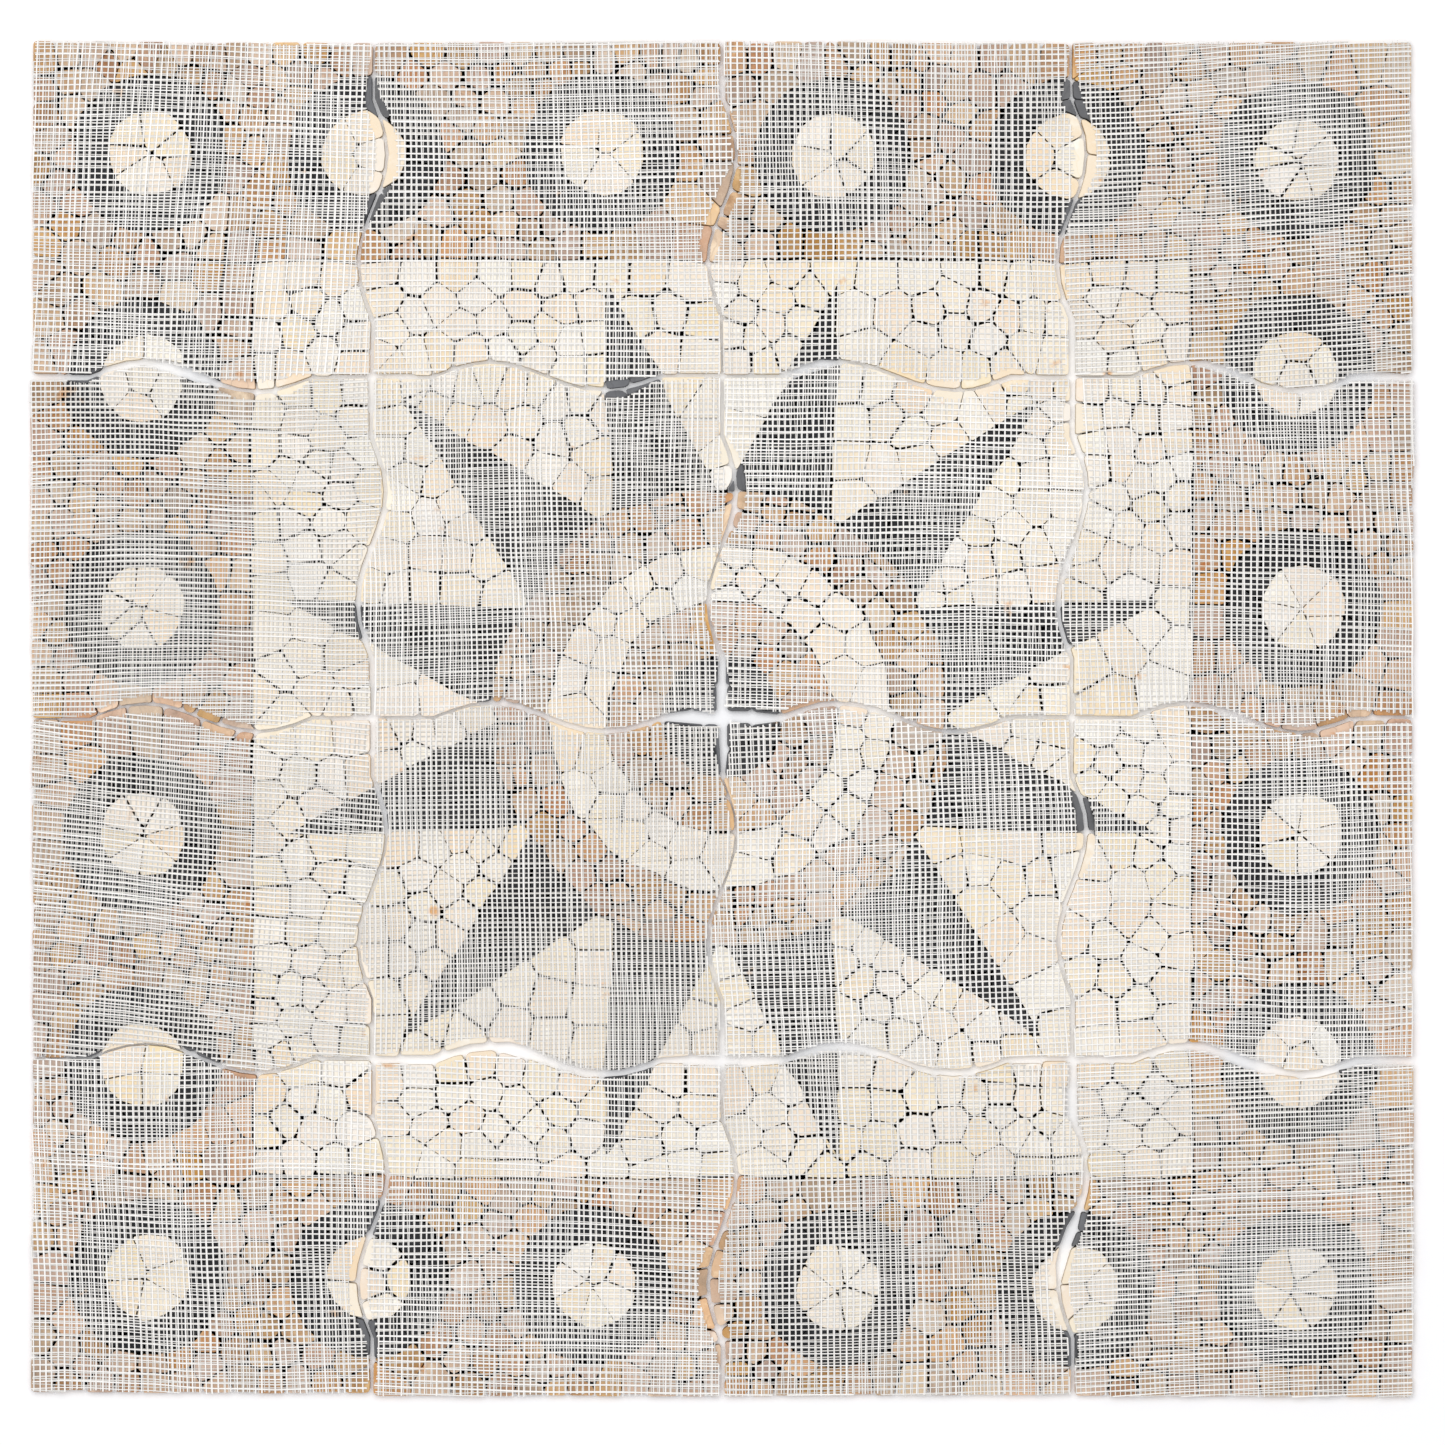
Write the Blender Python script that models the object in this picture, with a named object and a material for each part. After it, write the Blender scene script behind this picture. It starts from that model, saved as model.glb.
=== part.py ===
"""A square medallion of broken marble mosaic, laid out face down with its net backing on top.

Sixteen sheets interlock along wavy seams. Each sheet is a bed of cut stones, joined at the
back by a film of glue, and a glass-fibre net that covers the back. The finished faces of the
stones lie on z = 0 and the net is uppermost. X runs along the top row and Y up the columns.
"""

import math

import bmesh
import bpy
import numpy as np
from mathutils import Matrix, Vector
from mathutils.geometry import delaunay_2d_cdt

# Panel and sheets, in metres
PANEL_WIDTH = 1.212
PANEL_HEIGHT = 1.186
SHEET_STEP_X = 0.307
SHEET_STEP_Y = 0.299
SEAM_GAP = 0.0021
SEAM_SWING = 0.0125
SEAM_LEAD = 0.17
SEAM_BENDS = 6
NET_BENDS = 4

# Heights above the ground
STONE_THICKNESS = 0.009
JOINT_DEPTH = 0.0045
NET_CLEARANCE = 0.0003
NET_THICKNESS = 0.0011

# Joints between stones, and how far the net stays inside the edge of its sheet
JOINT_WIDTH = 0.0026
NET_MARGIN = 0.0045
NET_EDGE_MARGIN = 0.0008

# The tan border with its rings, and the cream field inside it
FIELD_WIDTH = 0.823
FIELD_HEIGHT = 0.803
RING_RADIUS = 0.0686
DISC_RADIUS = 0.0385
RING_STEP_X = 0.2035
RING_STEP_Y = 0.1995
RINGS_ALONG = 6
RING_SIDES = 12
DISC_SIDES = 8

# The star: a dark centre, three bands of stone round it, and the blades
HUB_RADIUS = 0.053
INNER_BAND_RADIUS = 0.101
MIDDLE_BAND_RADIUS = 0.151
OUTER_BAND_RADIUS = 0.201
BLADES = 12
BLADE_TIP_RADIUS = 0.396
BLADE_FOOT_WIDTH = 0.094
BLADE_TUCK = 0.01
BAND_SIDES = 12

# Blocks: each one stands for a few real stones laid close together
BLOCK_SIZE = 0.1
RING_BLOCK_SIZE = 0.06
SAMPLE_STEP = 0.006
SETTLING_ROUNDS = 30
JOIN_REACH = 0.011
SLIVER_AREA = 0.0005
SAME_PLACE = 0.00001
VALID_FACES = 4
STRAIGHT_ANGLE = math.radians(10)

# How each sheet was laid: moved right, moved up and turned anticlockwise at its corners,
# as shares of the seam gap. Rows run from the top, columns from the left.
SHEET_LAY = [
    [(0.0, 0.0, -0.45), (0.0, 0.1, 0.10), (0.0, 0.1, -0.10), (0.3, 0.0, 0.35)],
    [(-0.8, -0.6, 0.45), (0.0, 0.0, 0.30), (0.0, 0.0, -0.30), (0.9, -0.4, -0.35)],
    [(-0.2, -0.6, 0.10), (0.0, -0.5, -0.30), (0.0, -0.5, 0.30), (0.5, -0.5, 0.10)],
    [(-0.3, -0.6, -0.50), (0.0, -2.0, -0.20), (0.2, -1.7, 0.40), (0.9, -2.2, -0.25)],
]

# Finishes: base colour, roughness
FINISHES = {
    "tan_marble": ((0.62, 0.41, 0.28), 0.55),
    "cream_marble": ((0.80, 0.72, 0.58), 0.55),
    "charcoal_marble": ((0.045, 0.05, 0.055), 0.5),
    "fibre_net": ((0.86, 0.85, 0.80), 0.8),
}
TAN, CREAM, CHARCOAL, NET = range(len(FINISHES))

COLUMN_LINES = [-PANEL_WIDTH / 2, -SHEET_STEP_X, 0.0, SHEET_STEP_X, PANEL_WIDTH / 2]
ROW_LINES = [PANEL_HEIGHT / 2, SHEET_STEP_Y, 0.0, -SHEET_STEP_Y, -PANEL_HEIGHT / 2]
SHEETS = 4


def clear_scene():
    for item in list(bpy.data.objects):
        bpy.data.objects.remove(item)


def make_finishes():
    finishes = []
    for name, (colour, roughness) in FINISHES.items():
        finish = bpy.data.materials.new(name)
        finish.use_nodes = True
        shader = finish.node_tree.nodes["Principled BSDF"]
        shader.inputs["Base Color"].default_value = (*colour, 1.0)
        shader.inputs["Roughness"].default_value = roughness
        finish.diffuse_color = (*colour, 1.0)
        finishes.append(finish)
    return finishes


# Outlines


def seam_points(start, end, sideways, bends):
    """Points along one side of a sheet, without the last, swinging out and back on the way."""
    points = [start]
    if sideways.length == 0:
        return points
    for bend in range(bends + 1):
        share = SEAM_LEAD + (1 - 2 * SEAM_LEAD) * bend / bends
        swing = SEAM_SWING * math.sin(2 * math.pi * bend / bends)
        points.append(start.lerp(end, share) + swing * sideways)
    return points


def sheet_outline(row, column, bends, seam_margin, edge_margin):
    """The outline of a sheet, anticlockwise from its top left corner, drawn in by a margin."""
    last = SHEETS - 1
    left = COLUMN_LINES[column] + (seam_margin if column > 0 else edge_margin)
    right = COLUMN_LINES[column + 1] - (seam_margin if column < last else edge_margin)
    top = ROW_LINES[row] - (seam_margin if row > 0 else edge_margin)
    bottom = ROW_LINES[row + 1] + (seam_margin if row < last else edge_margin)
    top_left, bottom_left = Vector((left, top)), Vector((left, bottom))
    bottom_right, top_right = Vector((right, bottom)), Vector((right, top))
    outline = seam_points(top_left, bottom_left, Vector((column > 0, 0)), bends)
    outline += seam_points(bottom_left, bottom_right, Vector((0, row < last)), bends)
    outline += seam_points(bottom_right, top_right, Vector((-(column < last), 0)), bends)
    outline += seam_points(top_right, top_left, Vector((0, -(row > 0))), bends)
    return np.array([tuple(point) for point in outline])


def circle(centre, radius, sides):
    turns = [2 * math.pi * (side + 0.5) / sides for side in range(sides)]
    return np.array([(centre[0] + radius * math.cos(t), centre[1] + radius * math.sin(t)) for t in turns])


def rectangle(width, height):
    half = np.array([width, height]) / 2
    return np.array([(-1, -1), (1, -1), (1, 1), (-1, 1)]) * half


# The picture: areas of one colour, each laid over the ones before it


def ring_centres():
    """The rings run once round the border, sharing the four corners."""
    middle = (RINGS_ALONG - 1) / 2
    centres = []
    for i in range(RINGS_ALONG):
        for j in range(RINGS_ALONG):
            if i in (0, RINGS_ALONG - 1) or j in (0, RINGS_ALONG - 1):
                centres.append(((i - middle) * RING_STEP_X, (j - middle) * RING_STEP_Y))
    return centres


def blade(number):
    """A blade of the star: its foot is tucked under the outer band and its tip points out."""
    angle = 2 * math.pi * (number + 0.5) / BLADES
    out = np.array([math.cos(angle), math.sin(angle)])
    across = np.array([-out[1], out[0]])
    foot = out * (OUTER_BAND_RADIUS - BLADE_TUCK)
    half = across * BLADE_FOOT_WIDTH / 2
    return np.array([foot - half, out * BLADE_TIP_RADIUS, foot + half])


def colour_areas():
    """Pairs of colour and outline, from the bottom of the picture to the top."""
    areas = [(TAN, rectangle(2 * PANEL_WIDTH, 2 * PANEL_HEIGHT))]
    areas.append((CREAM, rectangle(FIELD_WIDTH, FIELD_HEIGHT)))
    areas += [(CHARCOAL, blade(number)) for number in range(BLADES)]
    areas.append((TAN, circle((0, 0), OUTER_BAND_RADIUS, 2 * BAND_SIDES)))
    areas.append((CREAM, circle((0, 0), MIDDLE_BAND_RADIUS, BAND_SIDES)))
    areas.append((TAN, circle((0, 0), INNER_BAND_RADIUS, BAND_SIDES)))
    areas.append((CHARCOAL, circle((0, 0), HUB_RADIUS, DISC_SIDES)))
    for centre in ring_centres():
        areas.append((CHARCOAL, circle(centre, RING_RADIUS, RING_SIDES)))
        areas.append((CREAM, circle(centre, DISC_RADIUS, DISC_SIDES)))
    return areas


# Cutting a sheet into blocks


def inside(outline, spots):
    """Which of the spots lie within the outline."""
    within = np.zeros(len(spots), bool)
    for (x0, y0), (x1, y1) in zip(outline, np.roll(outline, -1, axis=0)):
        if y0 == y1:
            continue
        beside = (spots[:, 1] < y0) != (spots[:, 1] < y1)
        crossing = x0 + (x1 - x0) * (spots[:, 1] - y0) / (y1 - y0)
        within ^= beside & (spots[:, 0] < crossing)
    return within


def overlay(outlines):
    """Crosses closed outlines. Gives the faces between them, each with the outlines round it."""
    points = []
    loops = []
    for outline in outlines:
        loops.append(list(range(len(points), len(points) + len(outline))))
        points += [Vector(point) for point in outline]
    # VALID_FACES asks for whole faces between the outlines in place of triangles
    spots, _, faces, _, _, owners = delaunay_2d_cdt(points, [], loops, VALID_FACES, SAME_PLACE)
    return [([tuple(spots[v]) for v in face], set(owner)) for face, owner in zip(faces, owners)]


def settle_seeds(spots, count, draw):
    """Spreads a few seeds evenly over the spots, each in the middle of the spots nearest to it."""
    seeds = spots[draw.choice(len(spots), count, replace=False)]
    for _ in range(SETTLING_ROUNDS):
        gaps = ((spots[:, None] - seeds[None]) ** 2).sum(axis=2)
        nearest = gaps.argmin(axis=1)
        seeds = np.array([spots[nearest == k].mean(axis=0) for k in range(count) if (nearest == k).any()])
        count = len(seeds)
    return seeds


def cut_back(outline, middle, away):
    """The part of a convex outline on the near side of a line through middle, square to away."""
    kept = []
    for here, ahead in zip(outline, outline[1:] + outline[:1]):
        d0 = float(np.dot(here - middle, away))
        d1 = float(np.dot(ahead - middle, away))
        if d0 <= 0:
            kept.append(here)
        if (d0 < 0 < d1) or (d1 < 0 < d0):
            kept.append(here + (ahead - here) * d0 / (d0 - d1))
    return kept


def cell_round(seed, seeds):
    """The ground nearer to this seed than to any other."""
    cell = list(seed + rectangle(2 * SHEET_STEP_X, 2 * SHEET_STEP_Y))
    for other in seeds:
        if other is not seed:
            cell = cut_back(cell, (seed + other) / 2, other - seed)
    return cell


def blocks_of_sheet(outline, areas):
    """Cuts a sheet along its colour areas and each area into blocks. Gives colour and outline."""
    low, high = outline.min(axis=0), outline.max(axis=0)
    near = [a for a in areas if (a[1].min(axis=0) < high).all() and (a[1].max(axis=0) > low).all()]
    across, up = (np.arange(low[k], high[k], SAMPLE_STEP) for k in (0, 1))
    spots = np.stack(np.meshgrid(across, up), axis=-1).reshape(-1, 2)
    spots = spots[inside(outline, spots)]
    top_area = np.zeros(len(spots), int)
    for number, (_, area) in enumerate(near):
        top_area[inside(area, spots)] = number
    draw = np.random.default_rng(1)
    blocks = []
    for number, (colour, area) in enumerate(near):
        patch = spots[top_area == number]
        if len(patch) == 0:
            continue
        size = RING_BLOCK_SIZE if np.ptp(area, axis=0).max() < PANEL_WIDTH / 2 else BLOCK_SIZE
        count = max(1, round(len(patch) * (SAMPLE_STEP / size) ** 2))
        seeds = settle_seeds(patch, count, draw)
        layers = [outline] + [other for _, other in near] + [cell_round(seed, seeds) for seed in seeds]
        first_cell = 1 + len(near)
        for face, owners in overlay(layers):
            shown = max((o - 1 for o in owners if 0 < o < first_cell), default=None)
            if 0 in owners and shown == number:
                blocks.append((colour, face))
    return blocks


def may_close(side, bends):
    """Whether a side can shrink to a point while the rim keeps its line and no block is pinched."""
    one, other = side.verts
    if one.is_boundary and other.is_boundary:
        if not side.is_boundary or (one in bends and other in bends):
            return False
    if len(set(one.link_faces) & set(other.link_faces)) > len(side.link_faces):
        return False
    round_one, round_other = ({e.other_vert(corner) for e in corner.link_edges} for corner in side.verts)
    triangles = [face for face in side.link_faces if len(face.verts) == 3]
    return len(round_one & round_other) == len(triangles)


def close_short_sides(mesh, bends):
    """Shrinks short sides to points, the shortest first. The bends of the rim stay in place."""
    while True:
        short = [side for side in mesh.edges if side.calc_length() < JOIN_REACH and may_close(side, bends)]
        if not short:
            return
        side = min(short, key=lambda entry: entry.calc_length())
        rim = [corner for corner in side.verts if corner.is_boundary]
        fixed = [corner for corner in rim if corner in bends]
        places = [corner.co.copy() for corner in fixed or rim or side.verts]
        bmesh.ops.pointmerge(mesh, verts=side.verts[:], merge_co=sum(places, Vector()) / len(places))


def drop_straight_corners(mesh):
    """Takes out corners that lie on a straight run between just two others."""
    straight = []
    for corner in mesh.verts:
        if len(corner.link_edges) == 2:
            before, ahead = (edge.other_vert(corner).co - corner.co for edge in corner.link_edges)
            if before.angle(-ahead) < STRAIGHT_ANGLE:
                straight.append(corner)
    bmesh.ops.dissolve_verts(mesh, verts=straight)


def join_slivers(mesh):
    """Joins each small block to the one of its own colour that shares its longest side."""
    while True:
        joins = []
        for face in mesh.faces:
            if face.calc_area() < SLIVER_AREA:
                for side in face.edges:
                    colours = {block.material_index for block in side.link_faces}
                    if len(side.link_faces) == 2 and len(colours) == 1:
                        joins.append(side)
        if not joins:
            return
        longest = max(joins, key=lambda side: side.calc_length())
        bmesh.ops.dissolve_edges(mesh, edges=[longest], use_verts=False)


def cut_sheet(outline, areas):
    """A flat mesh of the blocks of a sheet, which share their corners and have no short sides."""
    blocks = blocks_of_sheet(outline, areas)
    mesh = bmesh.new()
    corners = {}
    for face, owners in overlay([block for _, block in blocks]):
        for point in face:
            if point not in corners:
                corners[point] = mesh.verts.new((*point, 0.0))
        if owners:
            block = mesh.faces.new([corners[point] for point in face])
            block.material_index = blocks[min(owners)][0]
    bmesh.ops.delete(mesh, geom=[v for v in mesh.verts if not v.link_faces], context="VERTS")
    bends = {v for v in mesh.verts if np.abs(outline - v.co.xy).max(axis=1).min() < SAME_PLACE}
    close_short_sides(mesh, bends)
    join_slivers(mesh)
    drop_straight_corners(mesh)
    return mesh


# Solids


def raise_rim(mesh, rim, height):
    """Walls up from a closed rim, and a flat lid across their top."""
    walls = bmesh.ops.extrude_edge_only(mesh, edges=rim)["geom"]
    for corner in walls:
        if isinstance(corner, bmesh.types.BMVert):
            corner.co.z = height
    top = [edge for edge in walls if isinstance(edge, bmesh.types.BMEdge) and edge.is_boundary]
    return bmesh.ops.contextual_create(mesh, geom=top)["faces"]


def stone_bed(outline, areas):
    """The stones of a sheet: face down, parted by open joints, and one body at the back."""
    mesh = cut_sheet(outline, areas)
    bmesh.ops.recalc_face_normals(mesh, faces=mesh.faces)
    if mesh.faces[0].normal.z > 0:
        bmesh.ops.reverse_faces(mesh, faces=mesh.faces)
    bmesh.ops.translate(mesh, verts=mesh.verts, vec=(0, 0, JOINT_DEPTH))
    blocks = mesh.faces[:]
    bmesh.ops.inset_individual(
        mesh, faces=blocks, thickness=JOINT_WIDTH / 2, depth=JOINT_DEPTH, use_even_offset=False
    )
    rim = [edge for edge in mesh.edges if edge.is_boundary]
    for lid in raise_rim(mesh, rim, STONE_THICKNESS):
        lid.material_index = CREAM
    return mesh


def net_sheet(outline):
    """The glued net of a sheet, as one thin slab on the back of the stones."""
    mesh = bmesh.new()
    bottom = STONE_THICKNESS + NET_CLEARANCE
    base = mesh.faces.new([mesh.verts.new((x, y, bottom)) for x, y in outline])
    base.material_index = NET
    raise_rim(mesh, base.edges[:], bottom + NET_THICKNESS)
    return mesh


def sheet_place(row, column):
    """How a laid sheet stands, as a turn about its own middle and then a shift."""
    right, up, turn = SHEET_LAY[row][column]
    angle = turn * SEAM_GAP / (SHEET_STEP_X / 2)
    shift = Matrix.Translation((right * SEAM_GAP, up * SEAM_GAP, 0))
    return shift @ Matrix.Translation(sheet_middle(row, column)) @ Matrix.Rotation(angle, 4, "Z")


def sheet_middle(row, column):
    across = COLUMN_LINES[column] + COLUMN_LINES[column + 1]
    up = ROW_LINES[row] + ROW_LINES[row + 1]
    return Vector((across / 2, up / 2, 0))


def panel_middle():
    """The middle of the box round the laid sheets, which is moved to the origin."""
    spots = []
    for row in range(SHEETS):
        for column in range(SHEETS):
            place = sheet_place(row, column)
            for x, y in sheet_outline(row, column, SEAM_BENDS, SEAM_GAP / 2, 0.0):
                spots.append(place @ (Vector((x, y, 0)) - sheet_middle(row, column)))
    low = [min(spot[k] for spot in spots) for k in (0, 1)]
    high = [max(spot[k] for spot in spots) for k in (0, 1)]
    return Vector(((low[0] + high[0]) / 2, (low[1] + high[1]) / 2, 0))


def add_object(name, mesh, row, column, finishes, panel):
    """Makes the mesh an object with its origin in the middle of its sheet, as it was laid."""
    bmesh.ops.translate(mesh, verts=mesh.verts, vec=-sheet_middle(row, column))
    bmesh.ops.triangulate(mesh, faces=mesh.faces)
    bmesh.ops.recalc_face_normals(mesh, faces=mesh.faces)
    data = bpy.data.meshes.new(name)
    mesh.to_mesh(data)
    mesh.free()
    for finish in finishes:
        data.materials.append(finish)
    item = bpy.data.objects.new(name, data)
    item.parent = panel
    item.matrix_local = sheet_place(row, column)
    bpy.context.scene.collection.objects.link(item)


def main():
    clear_scene()
    finishes = make_finishes()
    areas = colour_areas()
    panel = bpy.data.objects.new("panel", None)
    panel.location = -panel_middle()
    bpy.context.scene.collection.objects.link(panel)
    for row in range(SHEETS):
        for column in range(SHEETS):
            stones = sheet_outline(row, column, SEAM_BENDS, SEAM_GAP / 2, 0.0)
            net = sheet_outline(row, column, NET_BENDS, SEAM_GAP / 2 + NET_MARGIN, NET_EDGE_MARGIN)
            place = f"r{row + 1}c{column + 1}"
            add_object("stones_" + place, stone_bed(stones, areas), row, column, finishes, panel)
            add_object("net_" + place, net_sheet(net), row, column, finishes, panel)


main()
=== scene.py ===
"""A square medallion of broken marble mosaic, laid face down, with two glued nets on its back.

The sixteen sheets lie where the solids have them. Every sheet is cut into separate stones, in
the colours of the picture, over a bed of dark glue that also paints the shade in the joints, and
each of its two nets is laid thread by thread, a little out of line with the other.
"""

import math

import bmesh
import bpy
import numpy as np
from mathutils import Matrix, Vector
from mathutils.geometry import delaunay_2d_cdt


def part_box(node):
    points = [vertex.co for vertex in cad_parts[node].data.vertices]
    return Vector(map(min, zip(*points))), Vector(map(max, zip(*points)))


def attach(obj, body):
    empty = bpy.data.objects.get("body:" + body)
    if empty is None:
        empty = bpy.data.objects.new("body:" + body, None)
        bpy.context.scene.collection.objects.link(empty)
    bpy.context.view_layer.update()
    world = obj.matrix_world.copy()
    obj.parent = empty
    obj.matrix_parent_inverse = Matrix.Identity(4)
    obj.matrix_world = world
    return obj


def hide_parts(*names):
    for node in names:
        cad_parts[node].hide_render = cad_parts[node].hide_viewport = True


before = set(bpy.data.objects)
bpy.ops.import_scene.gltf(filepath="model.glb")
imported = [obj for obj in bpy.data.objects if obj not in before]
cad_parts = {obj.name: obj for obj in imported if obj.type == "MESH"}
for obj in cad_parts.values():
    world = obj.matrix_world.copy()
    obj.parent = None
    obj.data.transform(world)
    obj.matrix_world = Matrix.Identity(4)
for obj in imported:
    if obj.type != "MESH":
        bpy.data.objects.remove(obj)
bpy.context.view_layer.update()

bl_info = {
    "name": "Mosaic panel",
    "version": (1, 0, 0),
    "blender": (4, 5, 0),
    "location": "View3D > Sidebar > Mosaic",
    "description": "Lays a marble mosaic of sixteen sheets with their net backing",
    "category": "Object",
}

# The sheets and the picture, as in the solids, in metres
SHEETS = 4
PANEL_WIDTH = 1.212
PANEL_HEIGHT = 1.186
SHEET_STEP_X = 0.307
SHEET_STEP_Y = 0.299
SEAM_GAP = 0.0021
SEAM_SWING = 0.0125
SEAM_LEAD = 0.17
CAD_SEAM_BENDS = 6
SEAM_BENDS = 12
STONE_THICKNESS = 0.009

FIELD_WIDTH = 0.823
FIELD_HEIGHT = 0.803
RING_RADIUS = 0.0686
DISC_RADIUS = 0.0385
RING_STEP_X = 0.2035
RING_STEP_Y = 0.1995
RINGS_ALONG = 6
HUB_RADIUS = 0.053
INNER_BAND_RADIUS = 0.101
MIDDLE_BAND_RADIUS = 0.151
OUTER_BAND_RADIUS = 0.201
BLADES = 12
BLADE_TIP_RADIUS = 0.396
BLADE_FOOT_WIDTH = 0.094
BLADE_TUCK = 0.01
ROUND_SIDES = 24
DISC_SIDES = 14
ROUND_STRAY = 0.025

# How much each sheet is turned anticlockwise at its corners, as a share of the seam gap
SHEET_TURN = [
    [-0.45, 0.10, -0.10, 0.35],
    [0.45, 0.30, -0.30, -0.35],
    [0.10, -0.30, 0.30, 0.10],
    [-0.50, -0.20, 0.40, -0.25],
]

# How far each ring stands off its even place, to the right and up, in millimetres. The numbers
# before it count the rings from the lower left corner.
RING_SHIFT = {
    (0, 5): (6, -4), (1, 5): (-9, -4), (2, 5): (-4, -4), (3, 5): (-4, -6), (4, 5): (-2, -7),
    (5, 5): (-4, -10), (0, 4): (2, -1), (5, 4): (-6, 2), (0, 3): (0, -3), (5, 3): (0, -3),
    (0, 2): (0, -2), (5, 2): (-2, -3), (0, 1): (-1, -5), (5, 1): (-4, -2), (0, 0): (5, 8),
    (1, 0): (-4, 8), (2, 0): (-11, 4), (3, 0): (0, 1), (4, 0): (4, -1), (5, 0): (-6, 1),
}

# Stretches of seam where the sheets stand further apart: middle and half length, in metres
WIDE_GAPS = [
    (-0.155, -0.301, 0.050), (0.006, -0.302, 0.042), (0.098, -0.292, 0.037), (0.449, -0.302, 0.042),
    (0.567, -0.300, 0.018), (-0.003, 0.001, 0.050), (0.450, 0.000, 0.018), (-0.470, 0.303, 0.026),
    (0.076, 0.300, 0.022), (0.439, 0.300, 0.030), (0.575, 0.295, 0.032), (0.307, 0.137, 0.018),
    (0.307, -0.337, 0.020), (0.307, -0.464, 0.030), (0.000, 0.044, 0.028), (-0.307, -0.284, 0.014),
]

# The cut edge of a net wanders in a long and a short wave, and less along the outer edge. The
# waves begin elsewhere on each sheet and side.
LONG_WAVE = 0.045
SHORT_WAVE = 0.013
OUTER_SHARE = 0.5
WAVE_STARTS = (2.4, 1.7, 1.3)
SHORT_WAVE_START = 3
WAVE_POWER = 1.5

# Width of the threads along each roll and across it, as a share, and how bright they are
THREAD_SHARE = {"C": (0.92, 1.06), "F": (0.76, 1.08)}
BRIGHTNESS = {"C": ((0.4, 1.0), (0.6, 1.0)), "F": ((0.1, 0.7), (0.65, 1.0))}

# How far the brightness of one sheet's nets strays from the average
NET_TONE = 0.15

# Joints between the stones of each colour, and the stones themselves, as a share of the average
JOINT_SHARE = (1.6, 1.15, 1.0)
SIZE_SHARE = (0.88, 1.0, 0.94)
JOINT_SPREAD = (0.4, 1.0, 1.6)

# Places where the nets fall short of a seam by more: middle, radius and depth, in metres
BARE_PLACES = [
    (0.0, 0.0, 0.055, 0.006), (-0.307, 0.50, 0.07, 0.008), (0.307, 0.51, 0.07, 0.008),
    (0.0, 0.20, 0.05, 0.007), (-0.01, 0.44, 0.05, 0.008), (0.0, -0.50, 0.07, 0.007),
    (0.307, -0.48, 0.08, 0.007), (0.22, 0.303, 0.06, 0.006), (-0.47, 0.002, 0.10, 0.006),
    (-0.09, 0.303, 0.03, 0.006), (0.307, 0.27, 0.05, 0.006), (-0.22, -0.30, 0.07, 0.005),
    (-0.40, 0.303, 0.05, 0.006), (0.55, 0.0, 0.05, 0.006), (0.307, -0.10, 0.05, 0.006),
    (-0.307, -0.50, 0.06, 0.006),
]

# Laying the threads: how far and how finely their lines are followed
NET_REACH = 0.24
NET_SPAN = 1.2
RUN_SAMPLES = 480
NET_EDGE_STEPS = 28
THREAD_STEP = 0.026
AHEAD = 0.001
SHORTEST_RUN = 4

# How the threads of a net stray: shift and place in spacings, width and bows as shares, and the
# lengths of the bows in metres
NET_SHIFT = 0.2
PLACE_STRAY = 0.08
THREAD_WIDTHS = (0.75, 1.25)
STEP_WIDTHS = (0.88, 1.12)
WANDERS = (0.3, 1.0)
BOWS = (0.25, 0.5)
DRIFTS = (0.3, 0.9)
SHORT_BOW_SHARE = 0.2
SHORT_BOW_LENGTH = 0.27
SHORT_BOW_DRIFT = 9

# Cutting the stones
SAMPLE_STEP = 0.003
SETTLING_ROUNDS = 7
VALID_FACES = 4
SAME_PLACE = 0.00001
STRAIGHT_ANGLE = math.radians(12)
BLUNT_ANGLE = math.radians(150)
JOIN_REACH = 0.0055
SLIVER_AREA = 0.00022

# The stones of a whole disc: their number, and where their seeds lie as shares of its radius
WEDGES = (5, 8)
WEDGE_REACH = (0.45, 0.68)
WEDGE_TURN = 0.25
WHOLE_DISC = 2.2

# Stones at a seam: how far they stand forward as a share of the gap, how far each corner strays
# as a share of the raggedness, and how soon a wide gap opens. Then the spread of broken corners.
FORWARD_SHARE = 0.15
RIM_STRAY = 0.3
GAPE_RISE = 1.5
CORNER_SPREAD = (0.5, 1.6)

# Numbers that start the separate chance draws
ROUND_DRAW, STONE_DRAW, NET_DRAW, SHIFT_DRAW, TONE_DRAW = 2, 3, 5, 8, 9

# The stage: where the camera and the lamp stand, with the panel's middle at the origin
CAMERA_PLACE = (0.0004, -0.003)
LAMP_PLACE = (-0.5, 0.8, 5.0)
LAMP_WIDTH = 4.2
FLOOR_COLOUR = (0.97, 0.97, 0.975, 1.0)
SKY_COLOUR = (0.94, 0.95, 1.0, 1.0)
SENSOR_WIDTH = 36.0

COLOURS = ("tan", "cream", "charcoal")
TAN, CREAM, CHARCOAL = range(len(COLOURS))
BROWN = (0.86, 0.47, 0.16, 1)
GREY = (0.8, 0.8, 0.8, 1)
MARBLE_ROUGHNESS = 0.5

# What glue leaves of the red, green and blue of a thread
DULLING = (0.68, 0.66, 0.63)

COLUMN_LINES = [-PANEL_WIDTH / 2, -SHEET_STEP_X, 0.0, SHEET_STEP_X, PANEL_WIDTH / 2]
ROW_LINES = [PANEL_HEIGHT / 2, SHEET_STEP_Y, 0.0, -SHEET_STEP_Y, -PANEL_HEIGHT / 2]

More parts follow.
